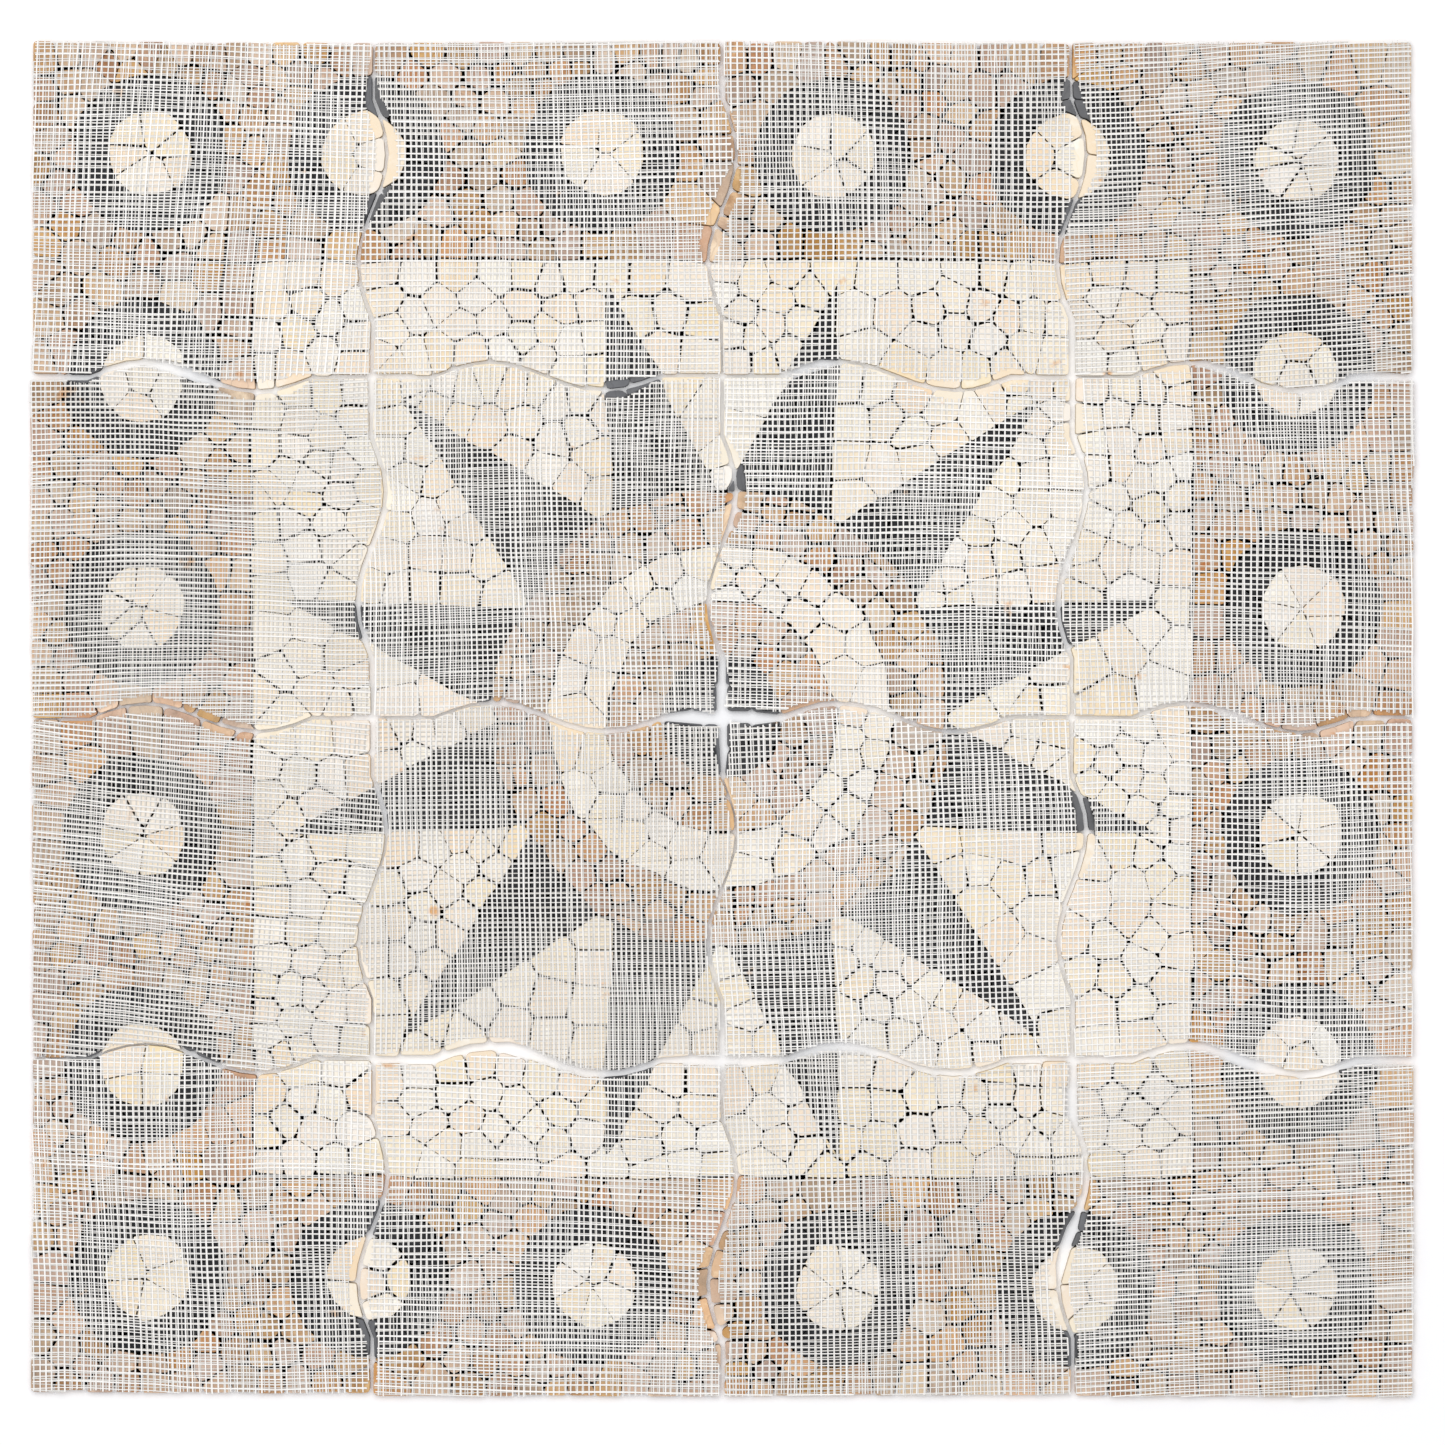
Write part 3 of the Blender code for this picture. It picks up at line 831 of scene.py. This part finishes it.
def lay_net(mesh, row, column, layer, sizes):
    """All the threads of one net, first those along the roll and then those across, over them."""
    draw = np.random.default_rng([row, column, layer, NET_DRAW])
    common_shifts = np.random.default_rng([row, column, SHIFT_DRAW]).uniform(size=2)
    common_tone = np.random.default_rng([row, column, TONE_DRAW]).uniform(-NET_TONE, NET_TONE)
    roll, turned, *slants = NET_LAY[row][column][layer]
    pitches = {
        "C": (sizes.coarse_across, sizes.coarse_along),
        "F": (sizes.fine_across, sizes.fine_along),
    }[roll]
    outline = net_outline(row, column, sizes)
    rise = sizes.wall + sizes.crown
    net = {
        "middle": np.array([COLUMN_LINES[column] + COLUMN_LINES[column + 1],
                            ROW_LINES[row] + ROW_LINES[row + 1]]) / 2,
        "crown": sizes.crown,
        "tone": mesh.faces.layers.float.new("thread_tone"),
    }
    for cross in (False, True):
        upright = cross == bool(turned)
        pitch = pitches[1 if cross else 0] * (1 + draw.uniform(-sizes.stretch, sizes.stretch))
        net["slant"] = math.radians(slants[0 if upright else 1])
        net["thread"] = sizes.thread * THREAD_SHARE[roll][cross]
        net["brightness"] = np.array(BRIGHTNESS[roll][cross]) + common_tone
        net["height"] = STONE_THICKNESS + rise * (2 * layer + 1 + cross)
        net["wander"] = sizes.wander * draw.uniform(*WANDERS)
        net["bow"] = draw.uniform(*BOWS)
        net["phase"] = draw.uniform()
        net["drift"] = draw.uniform(*DRIFTS)
        count = int(NET_SPAN * SHEET_STEP_X / pitch)
        shift = common_shifts[int(upright)] + draw.uniform(-NET_SHIFT, NET_SHIFT)
        for k in range(-count // 2, count // 2 + 1):
            offset = (k + shift + draw.normal(0, PLACE_STRAY)) * pitch
            for start, end in thread_runs(outline, offset, net, upright):
                start -= draw.uniform(-sizes.fray, sizes.fray)
                end += draw.uniform(-sizes.fray, sizes.fray)
                if end - start > SHORTEST_RUN * sizes.thread:
                    lay_thread(mesh, start, end, offset, net, upright, draw)


# Shader building


class NodeTree:
    """Places nodes in a tree. Inputs are given by name, as values or as sockets to join."""

    def __init__(self, tree):
        self.tree = tree

    def add(self, kind, inputs=None, **settings):
        node = self.tree.nodes.new(kind)
        for name, value in settings.items():
            setattr(node, name, value)
        for key, value in (inputs or {}).items():
            if isinstance(value, bpy.types.NodeSocket):
                self.tree.links.new(value, node.inputs[key])
            else:
                node.inputs[key].default_value = value
        return node

    def join(self, outlet, inlet):
        self.tree.links.new(outlet, inlet)

    def group(self, name, inputs):
        return self.add("ShaderNodeGroup", inputs, node_tree=bpy.data.node_groups[name]).outputs

    def place(self):
        return self.add("ShaderNodeTexCoord").outputs["Object"]

    def attribute(self, name):
        return self.add("ShaderNodeAttribute", attribute_name=name).outputs["Fac"]

    def facing_up(self):
        """1 on a face that looks up, 0 on an upright one and -1 on one that looks down."""
        facing = self.add("ShaderNodeNewGeometry").outputs["True Normal"]
        return self.add("ShaderNodeSeparateXYZ", {0: facing}).outputs["Z"]

    def math(self, operation, *values):
        node = self.add("ShaderNodeMath", dict(enumerate(values)), operation=operation)
        return node.outputs[0]

    def product(self, first, *others):
        for value in others:
            first = self.math("MULTIPLY", first, value)
        return first

    def own_share(self, tone, factor):
        """Another chance number for the same stone."""
        return self.math("FRACT", self.product(tone, factor))

    def ranged(self, value, low, high, to_low=0.0, to_high=1.0):
        inputs = {"Value": value, "From Min": low, "From Max": high, "To Min": to_low, "To Max": to_high}
        return self.add("ShaderNodeMapRange", inputs).outputs["Result"]

    def mixed(self, factor, below, above, blend="MIX"):
        """One colour over another. The colour sockets of the node are numbers 6 and 7."""
        node = self.add("ShaderNodeMix", {0: factor, 6: below, 7: above}, data_type="RGBA", blend_type=blend)
        return node.outputs[2]

    def noise(self, place, scale, detail=2.0, roughness=0.5):
        inputs = {"Vector": place, "Scale": scale, "Detail": detail, "Roughness": roughness}
        return self.add("ShaderNodeTexNoise", inputs).outputs["Fac"]

    def bump(self, height, strength, distance):
        inputs = {"Height": height, "Strength": strength, "Distance": distance}
        return self.add("ShaderNodeBump", inputs).outputs["Normal"]


def new_group(name, inputs, outputs):
    """An empty shader group, and the nodes at its two ends. Each input is given by its usual
    value. An output named Colour is a colour and any other a number."""
    group = bpy.data.node_groups.new(name, "ShaderNodeTree")
    for label, value in inputs.items():
        kind = "NodeSocketColor" if isinstance(value, tuple) else "NodeSocketFloat"
        group.interface.new_socket(label, in_out="INPUT", socket_type=kind).default_value = value
    for label in outputs:
        kind = "NodeSocketColor" if label == "Colour" else "NodeSocketFloat"
        group.interface.new_socket(label, in_out="OUTPUT", socket_type=kind)
    nodes = NodeTree(group)
    return nodes, nodes.add("NodeGroupInput").outputs, nodes.add("NodeGroupOutput").inputs


def make_marble_group():
    """Marble: a tone for each stone, clouds and fine grain inside it, and thin veins."""
    nodes, given, result = new_group(
        "marble", {"Colour": GREY, "Dark": (0.4, 0.3, 0.2, 1), "Light": (1, 1, 1, 1), "Contrast": 0.5},
        ("Colour", "Height"))
    place = nodes.place()
    tone = nodes.attribute("stone_tone")
    lifted = nodes.add("ShaderNodeCombineXYZ", {"Z": nodes.product(tone, 7.0)}).outputs[0]
    own_place = nodes.add("ShaderNodeVectorMath", {0: place, 1: lifted}, operation="ADD").outputs[0]
    clouds = nodes.noise(own_place, 60.0, 4.0, 0.6)
    grain = nodes.noise(own_place, 900.0, 2.0, 0.6)
    vein_wave = nodes.add(
        "ShaderNodeTexWave",
        {"Vector": own_place, "Scale": 22.0, "Distortion": 9.0, "Detail": 3.0, "Detail Scale": 1.6},
    ).outputs["Fac"]
    vein = nodes.ranged(vein_wave, 0.93, 1.0)
    darkness = nodes.math("ADD", nodes.ranged(tone, 0.45, 1.0), nodes.ranged(clouds, 0.5, 0.75))
    darker = nodes.mixed(nodes.product(darkness, given["Contrast"]), given["Colour"], given["Dark"])
    lightness = nodes.math("ADD", nodes.ranged(tone, 0.4, 0.0), nodes.ranged(clouds, 0.46, 0.3))
    lighter = nodes.mixed(nodes.product(lightness, given["Contrast"]), darker, given["Light"])
    veined = nodes.mixed(nodes.product(vein, 0.35), lighter, given["Dark"])
    speckled = nodes.mixed(nodes.ranged(grain, 0.35, 0.65, 0.0, 0.16), veined, given["Light"])
    varied = nodes.add("ShaderNodeHueSaturation", {
        "Hue": nodes.ranged(nodes.own_share(tone, 17.0), 0.0, 1.0, 0.491, 0.513),
        "Saturation": nodes.ranged(nodes.own_share(tone, 43.0), 0.0, 1.0, 0.65, 1.3),
        "Color": speckled,
    }).outputs["Color"]
    nodes.join(varied, result["Colour"])
    nodes.join(grain, result["Height"])


def make_side_group():
    """Broken sides are rougher than the faces of a stone and darker, with patchy dirt and with painted shade
    that grows towards the joints deep in the sheet and fades at its rim. The finished face is honed."""
    nodes, given, result = new_group(
        "side_dirt_and_shade", {"Colour": GREY, "Dirt_and_shade": (0.1, 0.1, 0.1, 1), "Amount": 0.6},
        ("Colour", "Side", "Finished"))
    place = nodes.place()
    level = nodes.facing_up()
    side = nodes.ranged(nodes.math("ABSOLUTE", level), 0.75, 0.2)
    patches = nodes.ranged(nodes.noise(place, 240.0, 3.0), 0.3, 0.7, 0.55, 1.0)
    depth = nodes.attribute("inside_net")
    # Painted shade: the further a side lies within the net edge, among the joints, the darker it is painted
    joint_shade = nodes.ranged(depth, 0.0, 0.004, 0.25, 1.0)
    amount = nodes.product(side, patches, given["Amount"], joint_shade)
    nodes.join(nodes.mixed(amount, given["Colour"], given["Dirt_and_shade"]), result["Colour"])
    nodes.join(side, result["Side"])
    nodes.join(nodes.ranged(level, -0.9, -0.99), result["Finished"])


def make_haze_group():
    """Glue wiped over the back leaves a whitish film in patches. The finished face has none."""
    nodes, given, result = new_group(
        "glue_haze", {"Colour": GREY, "Haze": (0.9, 0.9, 0.9, 1), "Amount": 0.5}, ("Colour", "Film"))
    place = nodes.place()
    back = nodes.ranged(nodes.facing_up(), 0.5, 0.9)
    tone = nodes.attribute("stone_tone")
    wide = nodes.ranged(nodes.noise(place, 9.0, 3.0, 0.6), 0.35, 0.65)
    streaks = nodes.ranged(nodes.noise(place, 130.0, 3.0, 0.65), 0.3, 0.7, 0.6, 1.0)
    taken = nodes.ranged(nodes.own_share(tone, 13.0), 0.0, 1.0, 0.35, 1.0)
    amount = nodes.product(wide, streaks, taken, back, given["Amount"])
    nodes.join(nodes.mixed(amount, given["Colour"], given["Haze"]), result["Colour"])
    nodes.join(amount, result["Film"])


def make_stain_group():
    """A few small brown stains, where something dripped or rusted."""
    nodes, given, result = new_group(
        "brown_stain", {"Colour": GREY, "Stain": (0.6, 0.4, 0.2, 1), "Amount": 0.6}, ("Colour",))
    place = nodes.place()
    spot = nodes.ranged(nodes.noise(place, 34.0, 3.0, 0.55), 0.70, 0.76)
    amount = nodes.product(spot, given["Amount"])
    nodes.join(nodes.mixed(amount, given["Colour"], given["Stain"], "MULTIPLY"), result["Colour"])


def make_wet_group():
    """Glue darkens the backs under the nets, and painted shade of the threads darkens them further. They
    stay dry and unshaded where the nets fall short of an edge.
    """
    nodes, given, result = new_group(
        "glue_wet_and_net_shade", {"Colour": GREY, "Wet_and_shade": (0.5, 0.5, 0.5, 1)}, ("Colour",))
    place = nodes.place()
    back = nodes.ranged(nodes.facing_up(), 0.2, 0.8)
    depth = nodes.attribute("inside_net")
    wander = nodes.ranged(nodes.noise(place, 90.0, 2.0), 0.3, 0.7, -0.001, 0.001)
    mask = nodes.product(nodes.ranged(nodes.math("ADD", depth, wander), -0.001, 0.0015), back)
    nodes.join(nodes.mixed(mask, given["Colour"], given["Wet_and_shade"], "MULTIPLY"), result["Colour"])


def new_material(name, **settings):
    """A new material and its nodes, with plain numbers set on the shader's own sockets."""
    material = bpy.data.materials.new(name)
    material.use_nodes = True
    nodes = NodeTree(material.node_tree)
    shader = material.node_tree.nodes["Principled BSDF"].inputs
    for label, value in settings.items():
        shader[label.replace("_", " ")].default_value = value
    return material, nodes, shader


def shade(colour, factor):
    return (*(min(1.0, channel * factor) for channel in colour), 1.0)


def make_marble(name, colour, dark, light, contrast, wet_and_shade, haze, haze_amount):
    material, nodes, shader = new_material(name, Specular_IOR_Level=0.1, Coat_Roughness=0.3)
    marble = nodes.group("marble", {
        "Colour": (*colour, 1.0), "Dark": dark, "Light": light, "Contrast": contrast})
    # Upright sides take patchy dirt and painted shade, most of it in the joints
    side = nodes.group("side_dirt_and_shade", {
        "Colour": marble["Colour"], "Dirt_and_shade": shade(colour, 0.14), "Amount": 0.85})
    # Backs under the nets darkened, partly for glue soaking in and partly as painted shade of the threads
    soaked = nodes.group("glue_wet_and_net_shade", {"Colour": side["Colour"], "Wet_and_shade": wet_and_shade})
    film = nodes.group("glue_haze", {
        "Colour": soaked["Colour"], "Haze": (*haze, 1.0), "Amount": haze_amount})
    stained = nodes.group("brown_stain", {"Colour": film["Colour"], "Stain": BROWN, "Amount": 0.8})
    nodes.join(stained["Colour"], shader["Base Color"])
    rough = nodes.math("ADD", MARBLE_ROUGHNESS, nodes.product(side["Side"], 0.3))
    nodes.join(nodes.math("ADD", rough, nodes.product(film["Film"], 0.15)), shader["Roughness"])
    nodes.join(nodes.product(side["Finished"], 0.5), shader["Coat Weight"])
    nodes.join(nodes.bump(marble["Height"], 0.25, 0.0004), shader["Normal"])
    return material


def make_glue_and_joint_shade(colour):
    material, nodes, shader = new_material("glue_and_joint_shade", Roughness=0.6, Specular_IOR_Level=0.05)
    place = nodes.place()
    lumps = nodes.noise(place, 300.0, 3.0, 0.6)
    # The glue is kept nearly black so that it also paints the deep shade of the joints
    black = nodes.mixed(nodes.ranged(lumps, 0.4, 0.8), (*colour, 1.0), shade(colour, 2.6))
    nodes.join(black, shader["Base Color"])
    nodes.join(nodes.bump(lumps, 0.6, 0.0006), shader["Normal"])
    return material


def make_thread(name, colour):
    """Glass-fibre thread: bundled strands, white where dry and duller where glue soaked in."""
    material, nodes, shader = new_material(
        name, Sheen_Weight=0.1, Sheen_Roughness=0.4, Specular_IOR_Level=0.3)
    place = nodes.place()
    tone = nodes.attribute("thread_tone")
    soaked = nodes.ranged(nodes.noise(place, 14.0, 4.0, 0.6), 0.45, 0.7)
    strands = nodes.noise(place, 1500.0, 2.0, 0.7)
    dull = (*(share * channel for share, channel in zip(DULLING, colour)), 1.0)
    white = nodes.mixed(tone, dull, (*colour, 1.0))
    white = nodes.mixed(nodes.product(soaked, 0.4), white, shade(colour, 0.8))
    white = nodes.mixed(nodes.ranged(strands, 0.3, 0.7, 0.0, 0.12), white, shade(colour, 0.75))
    stained = nodes.group("brown_stain", {"Colour": white, "Stain": BROWN, "Amount": 0.6})
    nodes.join(stained["Colour"], shader["Base Color"])
    nodes.join(nodes.ranged(soaked, 0.0, 1.0, 0.7, 0.45), shader["Roughness"])
    nodes.join(nodes.bump(strands, 0.3, 0.0002), shader["Normal"])
    return material


# Operators


class MOSAIC_OT_lay_stones(bpy.types.Operator):
    """Cuts every sheet into stones and lays them, one piece for each sheet and colour"""

    bl_idname = "mosaic.lay_stones"
    bl_label = "Lay the stones"

    def execute(self, context):
        sizes = context.scene.mosaic_stones
        make_marble_group()
        make_side_group()
        make_wet_group()
        make_stain_group()
        make_haze_group()
        # The colour that darkens each back under the nets stands for glue soaking in and for painted shade
        # of the threads
        marbles = {
            TAN: make_marble(
                "tan_marble", sizes.tan, dark=shade(sizes.tan, 0.55), light=(0.86, 0.60, 0.36, 1),
                contrast=0.75, wet_and_shade=(0.78, 0.76, 0.76, 1), haze=sizes.haze, haze_amount=0.3),
            CREAM: make_marble(
                "cream_marble", sizes.cream, dark=(0.86, 0.69, 0.47, 1), light=(0.95, 0.92, 0.84, 1),
                contrast=0.6, wet_and_shade=(1.0, 1.0, 1.0, 1), haze=sizes.haze, haze_amount=0.4),
            CHARCOAL: make_marble(
                "charcoal_marble", sizes.charcoal, dark=shade(sizes.charcoal, 0.6),
                light=(0.17, 0.175, 0.185, 1), contrast=0.5, wet_and_shade=(0.10, 0.105, 0.12, 1),
                haze=sizes.haze, haze_amount=0.03),
        }
        areas = colour_areas()
        for row, column, name in sheet_places():
            draw = np.random.default_rng([row, column, STONE_DRAW])
            outline = sheet_outline(row, column, SEAM_BENDS, SEAM_GAP / 2, 0.0)
            flat = cut_sheet(outline, areas, sizes, draw)
            roughen(flat, sizes, draw)
            for colour, word in enumerate(COLOURS):
                mesh = flat.copy()
                others = [face for face in mesh.faces if face.material_index != colour]
                bmesh.ops.delete(mesh, geom=others, context="FACES")
                if not mesh.faces:
                    mesh.free()
                    continue
                joint = JOINT_SHARE[colour] * sizes.joint
                part_stones(mesh, joint, draw)
                set_back(mesh, row, column, joint, sizes, draw)
                raise_stones(mesh, sizes, draw)
                tone_stones(mesh, draw)
                mark_net_edge(mesh, row, column, context.scene.mosaic_net)
                for face in mesh.faces:
                    face.material_index = 0
                bmesh.ops.transform(mesh, matrix=sheet_lay(row, column), verts=mesh.verts)
                place_piece(
                    f"{word}_stones_{name}", mesh, "stones_" + name, marbles[colour])
            flat.free()
        return {"FINISHED"}


class MOSAIC_OT_pour_glue(bpy.types.Operator):
    """Pours the dark glue that stands in the joints of every sheet and paints their deep shade"""

    bl_idname = "mosaic.pour_glue"
    bl_label = "Pour the glue"

    def execute(self, context):
        glue = context.scene.mosaic_glue
        material = make_glue_and_joint_shade(glue.colour)
        for row, column, name in sheet_places():
            outline = sheet_outline(row, column, SEAM_BENDS, SEAM_GAP / 2 + glue.margin, glue.margin)
            mesh = bmesh.new()
            base = mesh.faces.new([mesh.verts.new((x, y, glue.top - glue.thickness)) for x, y in outline])
            bmesh.ops.solidify(mesh, geom=[base], thickness=-glue.thickness)
            bmesh.ops.recalc_face_normals(mesh, faces=mesh.faces)
            bmesh.ops.transform(mesh, matrix=sheet_lay(row, column), verts=mesh.verts)
            place_piece("glue_" + name, mesh, "stones_" + name, material)
        return {"FINISHED"}


def lay_all_nets(context, layer, word, colour):
    """The lower or the upper net of every sheet."""
    sizes = context.scene.mosaic_net
    material = make_thread(word + "_glass_fibre", colour)
    for row, column, name in sheet_places():
        mesh = bmesh.new()
        lay_net(mesh, row, column, layer, sizes)
        cut = np.ptp(spots_of(mesh), axis=0)
        threads = sum(face.calc_area() for face in mesh.faces)
        bmesh.ops.transform(mesh, matrix=sheet_lay(row, column), verts=mesh.verts)
        piece = place_piece(f"{word}_net_{name}", mesh, "net_" + name, material)
        thickness = piece.modifiers.new("thread", "SOLIDIFY")
        thickness.thickness = sizes.wall
        thickness.offset = -1.0


class MOSAIC_OT_lay_lower_nets(bpy.types.Operator):
    """Lays the first net on the back of every sheet, thread by thread"""

    bl_idname = "mosaic.lay_lower_nets"
    bl_label = "Lay the lower nets"

    def execute(self, context):
        lay_all_nets(context, 0, "lower", context.scene.mosaic_net.soaked)
        return {"FINISHED"}


class MOSAIC_OT_lay_upper_nets(bpy.types.Operator):
    """Lays the second net over the first, a little out of line with it"""

    bl_idname = "mosaic.lay_upper_nets"
    bl_label = "Lay the upper nets"

    def execute(self, context):
        lay_all_nets(context, 1, "upper", context.scene.mosaic_net.dry)
        return {"FINISHED"}


class MOSAIC_OT_set_stage(bpy.types.Operator):
    """Sets the floor, the light and the camera"""

    bl_idname = "mosaic.set_stage"
    bl_label = "Set the stage"

    def execute(self, context):
        stage = context.scene.mosaic_stage
        floor_material, _, _ = new_material("studio_floor", Base_Color=FLOOR_COLOUR, Roughness=0.9)
        mesh = bmesh.new()
        bmesh.ops.create_grid(mesh, x_segments=1, y_segments=1, size=stage.floor / 2)
        data = bpy.data.meshes.new("floor")
        mesh.to_mesh(data)
        mesh.free()
        data.materials.append(floor_material)
        floor = bpy.data.objects.new("floor", data)
        context.scene.collection.objects.link(floor)

        lamp_data = bpy.data.lights.new("overhead_lamp", "AREA")
        lamp_data.shape = "SQUARE"
        lamp_data.size = LAMP_WIDTH
        lamp_data.energy = stage.lamp
        lamp = bpy.data.objects.new("overhead_lamp", lamp_data)
        lamp.location = LAMP_PLACE
        lamp.rotation_euler = Vector(LAMP_PLACE).to_track_quat("Z", "Y").to_euler()
        context.scene.collection.objects.link(lamp)

        world = bpy.data.worlds.new("studio")
        world.use_nodes = True
        sky = world.node_tree.nodes["Background"].inputs
        sky["Color"].default_value = SKY_COLOUR
        sky["Strength"].default_value = stage.sky
        context.scene.world = world
        context.scene.view_settings.view_transform = "Standard"

        camera_data = bpy.data.cameras.new("camera")
        camera_data.sensor_width = SENSOR_WIDTH
        camera_data.lens = camera_data.sensor_width * stage.height / stage.view_width
        camera = bpy.data.objects.new("camera", camera_data)
        camera.location = (*CAMERA_PLACE, stage.height)
        context.scene.collection.objects.link(camera)
        context.scene.camera = camera
        return {"FINISHED"}


class MOSAIC_PT_panel(bpy.types.Panel):
    """Lists the steps that make the mosaic"""

    bl_idname = "MOSAIC_PT_panel"
    bl_label = "Mosaic panel"
    bl_space_type = "VIEW_3D"
    bl_region_type = "UI"
    bl_category = "Mosaic"

    def draw(self, context):
        for step in STEPS:
            self.layout.operator(step.bl_idname)
        for label in SETTINGS:
            self.layout.label(text=label)
            group = getattr(context.scene, label)
            for setting in group.bl_rna.properties:
                if setting.identifier not in ("name", "rna_type"):
                    self.layout.prop(group, setting.identifier)


STEPS = (
    MOSAIC_OT_lay_stones,
    MOSAIC_OT_pour_glue,
    MOSAIC_OT_lay_lower_nets,
    MOSAIC_OT_lay_upper_nets,
    MOSAIC_OT_set_stage,
)
SETTINGS = {
    "mosaic_stones": StoneSettings,
    "mosaic_glue": GlueSettings,
    "mosaic_net": NetSettings,
    "mosaic_stage": StageSettings,
}
CLASSES = (*SETTINGS.values(), *STEPS, MOSAIC_PT_panel)


def register():
    for item in CLASSES:
        bpy.utils.register_class(item)
    for label, group in SETTINGS.items():
        setattr(bpy.types.Scene, label, bpy.props.PointerProperty(type=group))


def unregister():
    for label in SETTINGS:
        delattr(bpy.types.Scene, label)
    for item in reversed(CLASSES):
        bpy.utils.unregister_class(item)


def main():
    register()
    bpy.ops.mosaic.lay_stones()
    bpy.ops.mosaic.pour_glue()
    bpy.ops.mosaic.lay_lower_nets()
    bpy.ops.mosaic.lay_upper_nets()
    bpy.ops.mosaic.set_stage()


if __name__ == "__main__":
    main()
